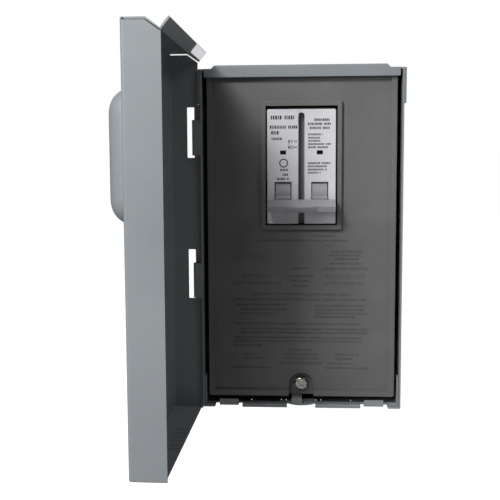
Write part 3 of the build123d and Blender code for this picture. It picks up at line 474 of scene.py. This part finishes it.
def finish(name, skin, scale, broad, deep, pale, worn, dust, rough, bump, edge, extra=None):
    """A finish. skin is a group, scale and broad its two pattern scales in cycles a metre.
    deep and pale are its two tones, worn and dust what shows at edges and on top faces.
    rough is (lowest, highest), bump the relief in millimetres, and edge (radius in
    millimetres, evenness, share of worn colour)."""
    material = bpy.data.materials.new(name)
    material.use_nodes = True
    tree = material.node_tree
    shader = tree.nodes["Principled BSDF"]
    place = put(tree, "ShaderNodeTexCoord").outputs["Object"]

    def use(group, **values):
        made = put(tree, "ShaderNodeGroup", node_tree=group)
        tree.links.new(place, made.inputs["Vector"])
        for key, value in values.items():
            made.inputs[key].default_value = value
        return made.outputs

    names = [item.name for item in skin.interface.items_tree if item.in_out == "INPUT"]
    surface = use(skin, **{names[1]: scale, names[2]: broad})
    wear = use(worn_edge, Radius=edge[0] * MM, Evenness=edge[1])["Mask"]
    rubs = use(scuffs, Length=RUB_LENGTH, Amount=RUB_AMOUNT)["Mask"]
    fallen = use(settled_dust, Amount=DUST_AMOUNT)["Mask"]

    tone = blend_colour(tree, surface["Shade"], (*deep, 1), (*pale, 1))
    specks = math(tree, "MULTIPLY", surface["Specks"], SPECK_SHARE)
    flecked = blend_colour(tree, specks, tone, (*pale, 1))
    rubbed = blend_colour(tree, rubs, flecked, (*worn, 1))
    edged = blend_colour(tree, math(tree, "MULTIPLY", wear, edge[2]), rubbed, (*worn, 1))
    dusty = blend_colour(tree, fallen, edged, (*dust, 1))
    tree.links.new(dusty, shader.inputs["Base Color"])

    low, high = rough
    matt = low
    for mask, share in (
        (surface["Shade"], (high - low) * MATT_BY_SHADE),
        (surface["Specks"], (high - low) * MATT_BY_SPECKS),
        (rubs, MATT_BY_RUBS),
        (fallen, MATT_BY_DUST),
    ):
        matt = math(tree, "ADD", matt, math(tree, "MULTIPLY", mask, share), clamp=True)
    tree.links.new(matt, shader.inputs["Roughness"])

    relief = put(
        tree, "ShaderNodeBump",
        {"Height": surface["Height"], "Distance": bump * MM, "Strength": 1.0},
    )
    tree.links.new(relief.outputs["Normal"], shader.inputs["Normal"])
    for socket, value in (extra or {}).items():
        shader.inputs[socket].default_value = value
    print("finish", name)
    return material


# %% [markdown]
# ## The finishes themselves
#
# One entry for each material slot of the model. The greys are chosen in pairs a few
# percent apart, since a wider pair looks dirty and a single value looks like a toy.

# %% Make the finishes
METAL = {"Metallic": 1.0}
finishes = {
    "painted_steel": finish(
        "light_grey_powder_coat", powder_coat, 1500.0, 12.0,
        (0.262, 0.282, 0.300), (0.300, 0.322, 0.340), (0.45, 0.47, 0.49), (0.42, 0.42, 0.40),
        (0.36, 0.50), 0.016, (0.55, 0.35, 0.40), {"Coat Weight": 0.12, "Coat Roughness": 0.25}),
    "dark_cover": finish(
        "dark_grey_moulded_cover", moulded_skin, 3600.0, 18.0,
        (0.138, 0.137, 0.137), (0.174, 0.173, 0.173), (0.29, 0.29, 0.29), (0.22, 0.21, 0.20),
        (0.42, 0.56), 0.012, (0.45, 0.3, 0.35)),
    "light_face": finish(
        "pale_grey_moulded_face", moulded_skin, 4200.0, 30.0,
        (0.77, 0.76, 0.80), (0.84, 0.83, 0.87), (0.90, 0.90, 0.91), (0.6, 0.59, 0.57),
        (0.40, 0.52), 0.008, (0.35, 0.4, 0.3)),
    "handle_grey": finish(
        "mid_grey_moulded_handle", moulded_skin, 3200.0, 40.0,
        (0.350, 0.350, 0.372), (0.400, 0.400, 0.424), (0.56, 0.56, 0.58), (0.45, 0.44, 0.43),
        (0.38, 0.52), 0.010, (0.5, 0.4, 0.35)),
    "black_insulator": finish(
        "black_moulded_insulator", moulded_skin, 3000.0, 40.0,
        (0.018, 0.018, 0.019), (0.030, 0.030, 0.031), (0.09, 0.09, 0.09), (0.16, 0.15, 0.14),
        (0.40, 0.58), 0.012, (0.4, 0.3, 0.35)),
    "crossbar_red": finish(
        "red_brown_insulator", moulded_skin, 2800.0, 60.0,
        (0.13, 0.028, 0.018), (0.18, 0.040, 0.026), (0.30, 0.12, 0.09), (0.28, 0.22, 0.19),
        (0.35, 0.5), 0.010, (0.4, 0.3, 0.35)),
    "flag_green": finish(
        "dark_green_flag", moulded_skin, 4200.0, 80.0,
        (0.008, 0.055, 0.036), (0.014, 0.080, 0.052), (0.05, 0.18, 0.12), (0.15, 0.18, 0.16),
        (0.25, 0.38), 0.006, (0.25, 0.4, 0.3)),
    "lens": finish(
        "clear_window", moulded_skin, 4200.0, 80.0,
        (0.86, 0.90, 0.90), (0.93, 0.95, 0.95), (0.97, 0.97, 0.97), (0.8, 0.8, 0.78),
        (0.06, 0.16), 0.003, (0.15, 0.5, 0.3), {"Transmission Weight": 1.0, "IOR": 1.49}),
    "zinc_steel": finish(
        "bright_zinc_plate", metal_skin, 1400.0, 320.0,
        (0.56, 0.54, 0.49), (0.72, 0.71, 0.67), (0.86, 0.85, 0.82), (0.5, 0.48, 0.44),
        (0.20, 0.40), 0.006, (0.3, 0.5, 0.4), METAL),
    "plain_steel": finish(
        "plain_drawn_steel", metal_skin, 1800.0, 240.0,
        (0.38, 0.38, 0.38), (0.52, 0.52, 0.52), (0.70, 0.70, 0.70), (0.35, 0.33, 0.31),
        (0.28, 0.45), 0.006, (0.25, 0.5, 0.4), METAL),
    "lug_aluminium": finish(
        "tin_plated_aluminium", metal_skin, 1200.0, 280.0,
        (0.66, 0.66, 0.67), (0.78, 0.78, 0.79), (0.88, 0.88, 0.88), (0.5, 0.49, 0.47),
        (0.30, 0.46), 0.008, (0.35, 0.5, 0.35), METAL),
    "copper": finish(
        "bare_copper", metal_skin, 1300.0, 160.0,
        (0.62, 0.25, 0.13), (0.80, 0.40, 0.25), (0.90, 0.55, 0.40), (0.45, 0.33, 0.27),
        (0.24, 0.42), 0.006, (0.3, 0.5, 0.35), METAL),
}
print("finishes:", len(finishes))

# %% [markdown]
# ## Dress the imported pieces
#
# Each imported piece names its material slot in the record, so the finish is looked up by
# that name and put in the piece's own slot. The meshes come with hard corners, and no
# real corner is that sharp: sheet steel keeps a small burr radius and a moulding about a
# quarter of a millimetre. A Weld modifier joins the faces, a Bevel rounds what is left
# sharp, and weighted normals keep the flats looking flat.

# %% Assign finishes and ease the corners
CORNER = {
    "painted_steel": 0.22, "dark_cover": 0.22, "light_face": 0.22, "handle_grey": 0.35,
    "black_insulator": 0.25, "crossbar_red": 0.3, "zinc_steel": 0.12, "lug_aluminium": 0.25,
    "copper": 0.12, "plain_steel": 0.08, "flag_green": 0.08, "lens": 0.08,
}
JOIN_WITHIN, SHARP_ABOVE = 0.004 * MM, 38
CORNER_STEPS, FLAT_WEIGHT = 2, 60


def ease(piece, radius):
    """Rounds the sharp corners of a piece without touching its mesh."""
    weld = piece.modifiers.new("join_faces", "WELD")
    weld.merge_threshold = JOIN_WITHIN
    bevel = piece.modifiers.new("ease_corners", "BEVEL")
    bevel.width = radius * MM
    bevel.segments = CORNER_STEPS
    bevel.limit_method = "ANGLE"
    bevel.angle_limit = radians(SHARP_ABOVE)
    bevel.use_clamp_overlap = True
    normals = piece.modifiers.new("flat_faces", "WEIGHTED_NORMAL")
    normals.weight = FLAT_WEIGHT


for part in record["subparts"]:
    piece = nodes[part["node"]]
    slot_name = part["material_slot"]
    for slot in piece.material_slots:
        slot.material = finishes[slot_name]
    if part["node"] != "toggle_springs":
        ease(piece, CORNER[slot_name])
print("dressed", len(record["subparts"]), "pieces")

# %% [markdown]
# ## Where the surfaces are
#
# Raised marks and ink must sit exactly on the surface they belong to. Casting a ray at a
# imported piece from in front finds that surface, so nothing here repeats a depth by hand.
# One flat spot is named on the inner cover, below the faces, and one near the faces' top.


# %% Find a surface
RUN_UP = 50 * MM
COVER_SPOT, FACE_SPOT = Vector((30, -30)) * MM, Vector((12, -4)) * MM


def front_of(node, x, z):
    """The y of the first surface of a node met from the front, at x and z."""
    start = Vector((x, box_low.y - RUN_UP, z))
    hit, point, *_ = nodes[node].ray_cast(start, Vector((0, 1, 0)))
    if not hit:
        raise ValueError(f"nothing of {node} in front at {x}, {z}")
    return point.y


face_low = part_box("switch_cover")[0]
faces_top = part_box("switch_case")[1].z
cover_low, cover_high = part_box("deadfront")
cover_y = front_of("deadfront", COVER_SPOT.x, face_low.z + COVER_SPOT.y)
face_y = front_of("switch_cover", FACE_SPOT.x, faces_top + FACE_SPOT.y)
print("inner cover is", round((cover_high - cover_low).x / MM, 1), "mm wide")
print("inner cover face at", round(cover_y, 4), "switch face at", round(face_y, 4))

# %% [markdown]
# ## Painted shade in the gap between the two switch faces
#
# The two pale faces are parted by a deep narrow gap that runs up the middle. Little light gets in,
# and that shade is painted into the colour: a painted shade. The imported cover is one solid in one
# slot, so the painted shade is laid by depth. It starts just behind the faces, wherever they are,
# and darkens anything else of the cover that lies that far back.

# %% Paint shade into the gap
# Painted shade: this grey stands in for the shade deep in the gap between the faces.
GAP_PAINTED_SHADE = (0.26, 0.26, 0.27, 1)
GAP_FROM, GAP_FULL = 0.6 * MM, 2.6 * MM

tree = finishes["light_face"].node_tree
shader = tree.nodes["Principled BSDF"]
place = put(tree, "ShaderNodeTexCoord").outputs["Object"]
inward = put(tree, "ShaderNodeSeparateXYZ", {0: place}).outputs["Y"]
behind = ramp(tree, inward, face_y + GAP_FROM, face_y + GAP_FULL)
pale_face = shader.inputs["Base Color"].links[0].from_socket
tree.links.new(blend_colour(tree, behind, pale_face, GAP_PAINTED_SHADE), shader.inputs["Base Color"])
print("painted gap shade starts", GAP_FROM / MM, "mm behind the faces")

# %% [markdown]
# ## Raised marks on the inner cover
#
# The inner cover is moulded with several blocks of small raised lettering. Real words have
# no place on a reusable part, so each letter becomes a plain little block: from a step
# back the cover has the same broken texture of headings and paragraphs, and up close it
# says nothing. Each block is a low frustum, since a moulded letter needs draft to
# leave the tool.


# %% Block lettering
WORD = (5, 18)
FINE = (0.16, 0.2, 0.2, 0.26, 0.34)
SUNK = -0.02 * MM
LETTER_GAP, WORD_GAP, DRAFT, DRAFT_LIMIT = 0.21, 0.6, 0.3, 0.05


def frustum(tool, spot, half_w, half_h, rise, inset):
    """A closed low block on the plane of spot, a matrix whose Z looks out of the surface."""
    rings = []
    for depth, shrink in ((SUNK, 0.0), (rise, inset)):
        corners = ((-1, -1), (1, -1), (1, 1), (-1, 1))
        ring = [
            tool.verts.new(spot @ Vector((a * (half_w - shrink), b * (half_h - shrink), depth)))
            for a, b in corners
        ]
        rings.append(ring)
    base, top = rings
    tool.faces.new(list(reversed(base)))
    tool.faces.new(top)
    for i in range(4):
        j = (i + 1) % 4
        tool.faces.new((base[i], base[j], top[j], top[i]))


def row_of_marks(tool, plane, left, right, middle_z, tall, rise, dice, widths=FINE):
    """One line of greeked strokes from left to right on a plane, in millimetres."""
    cursor = left
    inset = min(DRAFT_LIMIT * tall, DRAFT * rise / MM)
    letters = dice.randint(*WORD)
    while True:
        wide = tall * dice.choice(widths)
        if cursor + wide > right:
            return
        spot = plane @ Matrix.Translation(Vector((cursor + wide / 2, middle_z, 0)) * MM)
        frustum(tool, spot, wide / 2 * MM, tall / 2 * MM, rise, inset * MM)
        cursor += wide + LETTER_GAP * tall
        letters -= 1
        if letters == 0:
            cursor += WORD_GAP * tall
            letters = dice.randint(*WORD)


def facing_front(y):
    """The plane at y that looks out of the wall: X right, Y up, Z towards the viewer."""
    return Matrix(((1, 0, 0, 0), (0, 0, -1, y), (0, 1, 0, 0), (0, 0, 0, 1)))


# %% [markdown]
# The rows are laid out as a label designer would: headings, then paragraphs, each with a
# left and right edge and a height, measured in millimetres from the middle of the cover
# and from the lower edge of the switch face.

# %% Raised marks
SMALL, HEAD, TITLE = 1.35, 2.6, 4.6
COVER_ROWS = [
    (7, 24, -8.6, SMALL), (-32, 32, -11.9, SMALL), (15, 23.5, -15.2, SMALL),
    (-49, -22, -23.6, TITLE),
    (20.5, 43, -19.6, SMALL), (19, 43, -22.3, SMALL), (23.5, 41, -24.9, SMALL),
    (19, 43, -28, SMALL), (15, 47, -31.5, SMALL), (-7, 6, -31.5, SMALL),
    (-41.5, -21, -37, HEAD), (17, 45, -37, HEAD), (-10, 9, -37, SMALL),
    (-47.6, -13, -42, 1.8), (16, 46, -42, 1.8), (-7, 6, -40.4, SMALL), (-6, 6, -43.9, SMALL),
    (-35, 35, -49.9, 1.5), (-46, 46, -53.7, 1.5),
    (-46, -9, -57.6, SMALL), (-43, -11, -60.9, SMALL), (-43, -15.5, -63.8, SMALL),
    (9.6, 46, -58, SMALL), (9.6, 44, -60.9, SMALL), (9.6, 46, -63.5, SMALL), (9.6, 38, -66, SMALL),
    (-46, 41, -71.1, 1.5), (-43, 47, -74.9, SMALL), (-43, 47, -77.5, SMALL),
    (-47.6, 42.6, -81.1, SMALL), (-47.6, 42.6, -83.7, SMALL), (-48, -27, -86.8, SMALL),
    (-8.6, 8.8, -89.9, SMALL), (-41.5, -32, -93, 1.6), (-11, 12, -93, SMALL), (23.5, 40, -93, 1.6),
    (-40.6, -27, -96.1, SMALL), (-12, 12, -96.1, SMALL), (24.4, 36.5, -96.1, SMALL),
    (-15.5, 15.7, -99.6, SMALL), (19, 36.5, -99.6, SMALL),
    (-48, -20, -102.7, SMALL), (18, 48, -102.7, SMALL),
]
MARK_RISE = 0.32 * MM

dice = random.Random(11)
tool = bmesh.new()
plane = facing_front(cover_y)
for left, right, below, tall in COVER_ROWS:
    row_of_marks(tool, plane, left, right, face_low.z / MM + below, tall, MARK_RISE, dice)
cover_marks = link_mesh("cover_raised_marks", tool)
cover_marks.data.materials.append(finishes["dark_cover"])
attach(cover_marks, "enclosure")
print("raised marks:", len(cover_marks.data.polygons) // 6)

# %% [markdown]
# ## Two inks
#
# The switch faces carry black pad-printed lettering, and the door a faded blue one. Ink is
# a skin a few hundredths of a millimetre thick, so it could be painted into the finish, but
# very thin blocks keep its edges crisp and let the ink have a gloss of its own.

# %% Ink finishes
ink_black = finish(
    "black_pad_ink", moulded_skin, 5200.0, 120.0,
    (0.012, 0.012, 0.014), (0.026, 0.026, 0.028), (0.10, 0.10, 0.10), (0.2, 0.2, 0.19),
    (0.34, 0.5), 0.002, (0.1, 0.6, 0.2))
ink_blue = finish(
    "faded_blue_ink", moulded_skin, 1400.0, 90.0,
    (0.045, 0.105, 0.165), (0.085, 0.150, 0.205), (0.22, 0.27, 0.31), (0.2, 0.24, 0.27),
    (0.36, 0.52), 0.004, (0.1, 0.6, 0.2))

# %% [markdown]
# ## The print on the two faces
#
# The rows are placed from the top edge of the faces down. Left: a heading, ratings, then the
# on and off signs and a plain ring. Right: a heading of three lines and two paragraphs. A
# fixed seed for the dice keeps every stroke in the same place on every run.

# %% Print on the switch faces
INK_RISE = 0.03 * MM
BOLD = (0.26, 0.34, 0.42, 0.5)
ON_BELOW, OFF_BELOW, RING_BELOW = 22.0, 26.0, 36.9
ARROW_X, SIGN_X, RING_X, SIGN_WORD = -8.6, -6.6, -12.3, (-4.9, -2.8)
ARROW, SIGN_TALL, RING_STEPS = 1.7, 1.1, 20
LEFT_ROWS = [
    (-21.2, -4.2, -5.6, 2.6), (-21.8, -2.8, -12.2, 2.1), (-20.9, -14.8, -16, 2.3),
    (-20.6, -12.9, -20.2, 1.7), (-14.8, -8.9, -41.6, 1.6), (-13, -9, -44.9, 1.6),
    (-17, -7.7, -47.8, 1.6),
]
RIGHT_ROWS = [
    (8.8, 19.9, -7.3, 1.7), (4.5, 20.5, -10.1, 1.7), (5.8, 19.5, -12.9, 1.7),
    (4.5, 15, -17.3, 1.3), (4.5, 14.3, -19.6, 1.3), (4.5, 13.1, -21.7, 1.3),
    (4.5, 20.5, -23.9, 1.3), (4.5, 18.6, -26.1, 1.3),
    (4.5, 19.9, -37, 1.3), (4.5, 18.9, -39.2, 1.3), (4.5, 17.4, -41.4, 1.3),
    (4.5, 13.4, -43.6, 1.3),
]


def pointer(tool, plane, x, z, size):
    """A small solid triangle that points up if size is positive, in millimetres."""
    up = [(-0.5, -0.5), (0.5, -0.5), (0, 0.5)]
    down = [(-0.5, 0.5), (0, -0.5), (0.5, 0.5)]
    rings = []
    for height in (SUNK, INK_RISE):
        ring_verts = []
        for a, b in up if size > 0 else down:
            spot = Vector((x + a * abs(size), z + b * abs(size), height / MM)) * MM
            ring_verts.append(tool.verts.new(plane @ spot))
        rings.append(ring_verts)
    tool.faces.new(list(reversed(rings[0])))
    tool.faces.new(rings[1])
    for i in range(3):
        j = (i + 1) % 3
        tool.faces.new((rings[0][i], rings[0][j], rings[1][j], rings[1][i]))


def ring(tool, plane, x, z, radius, line, rise):
    """A thin printed or moulded ring, in millimetres, with its rise in metres."""
    loops = []
    inner = radius - line
    turn = Matrix.Rotation(radians(360 / RING_STEPS), 4, "Z")
    for r, h in ((radius, SUNK), (radius, rise), (inner, rise), (inner, SUNK)):
        arm = Vector((r * MM, 0, 0))
        loop = []
        for step in range(RING_STEPS):
            loop.append(tool.verts.new(plane @ (arm + Vector((x * MM, z * MM, h)))))
            arm = turn @ arm
        loops.append(loop)
    for a, b in zip(loops, loops[1:] + loops[:1]):
        for i in range(RING_STEPS):
            j = (i + 1) % RING_STEPS
            tool.faces.new((a[i], a[j], b[j], b[i]))


tool = bmesh.new()
plane = facing_front(face_y)
face_top = faces_top / MM
for left, right, below, tall in LEFT_ROWS + RIGHT_ROWS:
    row_of_marks(tool, plane, left, right, face_top + below, tall, INK_RISE, dice, BOLD)
on_z, off_z = face_top - ON_BELOW, face_top - OFF_BELOW
pointer(tool, plane, ARROW_X, on_z + 0.6, ARROW)
pointer(tool, plane, ARROW_X, off_z - 0.6, -ARROW)
upright_bars = (
    (SIGN_X, on_z, 0.3, 1.1),
    (ARROW_X, on_z - 1.0, 0.28, 0.7),
    (ARROW_X, off_z + 1.0, 0.28, 0.7),
)
for x, z, half_wide, half_tall in upright_bars:
    spot = plane @ Matrix.Translation(Vector((x, z, 0)) * MM)
    frustum(tool, spot, half_wide * MM, half_tall * MM, INK_RISE, 0)
for z in (on_z, off_z):
    row_of_marks(tool, plane, *SIGN_WORD, z, SIGN_TALL, INK_RISE, dice, BOLD)
ring(tool, plane, SIGN_X, off_z, 1.15, 0.42, INK_RISE)
ring(tool, plane, RING_X, face_top - RING_BELOW, 3.1, 0.75, INK_RISE)
face_ink = link_mesh("switch_face_ink", tool)
face_ink.data.materials.append(ink_black)
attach(face_ink, "enclosure")
print("ink marks:", len(face_ink.data.polygons))

# %% [markdown]
# ## The door's own frame
#
# Marks on the door are laid out as if it were shut, which is how the sheet is drawn, and
# then swung open about the hinge by the joint's own angle. The record holds both.

# %% Door frame
hinge = next(joint for joint in record["behaviour"]["joints"] if joint["name"] == "door_hinge")
door_swing = (
    Matrix.Translation(Vector(hinge["pos_m"]))
    @ Matrix.Rotation(radians(-hinge["range_deg"][1]), 4, "Z")
)
door_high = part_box("door_panel")[1]
print("door swung by", hinge["range_deg"][1], "degrees")

# %% [markdown]
# ## Ink inside the door
#
# Inside the door a few faded blue lines of print run across the bottom sheet. They are
# kept as broken strokes that say nothing. They could be placed by numbers alone, but rays
# cast in the door's own frame find the sheet itself, and riding with the door keeps the ink
# on it at any angle.

# %% Ink inside the door
DOOR_PRINT_TALL, DOOR_PRINT_PITCH, DOOR_PRINT_ROWS = 2.4, 7.6, 6
DOOR_PRINT_FIRST, DOOR_PRINT_SPAN = 54.0, (-7.5, 0.8)


def door_surface(across, inward, height, toward):
    """The point of the door met from a point of its own frame, going toward a direction."""
    shut = door_swing.to_3x3()
    start = door_swing @ (Vector((across, inward, height)) * MM)
    hit, point, *_ = nodes["door_panel"].ray_cast(start, shut @ Vector(toward))
    if not hit:
        raise ValueError(f"nothing of the door at {across}, {inward}, {height}")
    return door_swing.inverted() @ point


plate = door_surface(DOOR_PRINT_FIRST, sum(DOOR_PRINT_SPAN) / 2, 0.0, (0, 0, -1))
quarter_turn = Matrix.Rotation(radians(90), 4, "Z")
tool = bmesh.new()
for row in range(DOOR_PRINT_ROWS):
    across = (DOOR_PRINT_FIRST + row * DOOR_PRINT_PITCH) * MM
    lying = door_swing @ Matrix.Translation((across, 0, plate.z)) @ quarter_turn
    row_of_marks(tool, lying, *DOOR_PRINT_SPAN, 0.0, DOOR_PRINT_TALL, INK_RISE, dice)
door_ink = link_mesh("door_inside_ink", tool)
door_ink.data.materials.append(ink_blue)
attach(door_ink, "door")
print("door ink strokes:", len(door_ink.data.polygons) // 6)

# %% [markdown]
# ## The painted highlight on the hood's end tab
#
# At the hinge end the hood's lip is cut free as a short tab that looks far paler than the rest.
# That paleness is painted light. A thin plate painted pale stands in for the highlight on the tab,
# and it has a small even glow although it is no lamp, because paint alone stays too dark in the
# shade. Two rays cast at the lip, one near its foot and one near its head, give its slope, and the
# plate is laid out along that.

# %% Painted highlight plate on the end tab of the lip
LIP_FOOT, LIP_HEAD, WELL_CLEAR = 5.6, 1.4, 30.0
TAB_NEAR, TAB_FAR, TAB_OVERLAP = 1.8, 44.6, 0.5
TAB_RISE, TAB_PAINTED_GLOW = 0.25 * MM, 0.6

# Painted highlight: the pale tones and the glow stand in for the light on the tab.
tab_painted_highlight = finish(
    "tab_painted_highlight_skin", powder_coat, 1800.0, 40.0,
    (0.72, 0.73, 0.74), (0.80, 0.81, 0.82), (0.88, 0.88, 0.88), (0.6, 0.6, 0.58),
    (0.38, 0.52), 0.008, (0.4, 0.4, 0.3),
    {"Emission Color": (0.85, 0.86, 0.88, 1), "Emission Strength": TAB_PAINTED_GLOW})
tab_middle = (TAB_NEAR + TAB_FAR) / 2
lip_top = door_high.z / MM
foot = door_surface(tab_middle, WELL_CLEAR, lip_top - LIP_FOOT, (0, -1, 0))
head = door_surface(tab_middle, WELL_CLEAR, lip_top - LIP_HEAD, (0, -1, 0))
rise = (head - foot).normalized()
along = Vector((1, 0, 0))
spot = Matrix((along, rise, along.cross(rise))).transposed().to_4x4()
spot.translation = (foot + head) / 2
tool = bmesh.new()
half_wide = (TAB_FAR - TAB_NEAR) / 2 * MM
half_tall = (head - foot).length / 2 + TAB_OVERLAP * MM
frustum(tool, door_swing @ spot, half_wide, half_tall, TAB_RISE, TAB_RISE / 2)
lip_highlight_plate = link_mesh("hood_tab_highlight_plate", tool)
lip_highlight_plate.data.materials.append(tab_painted_highlight)
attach(lip_highlight_plate, "door")
print("tab plate runs", round(TAB_FAR - TAB_NEAR, 1), "mm along the lip")
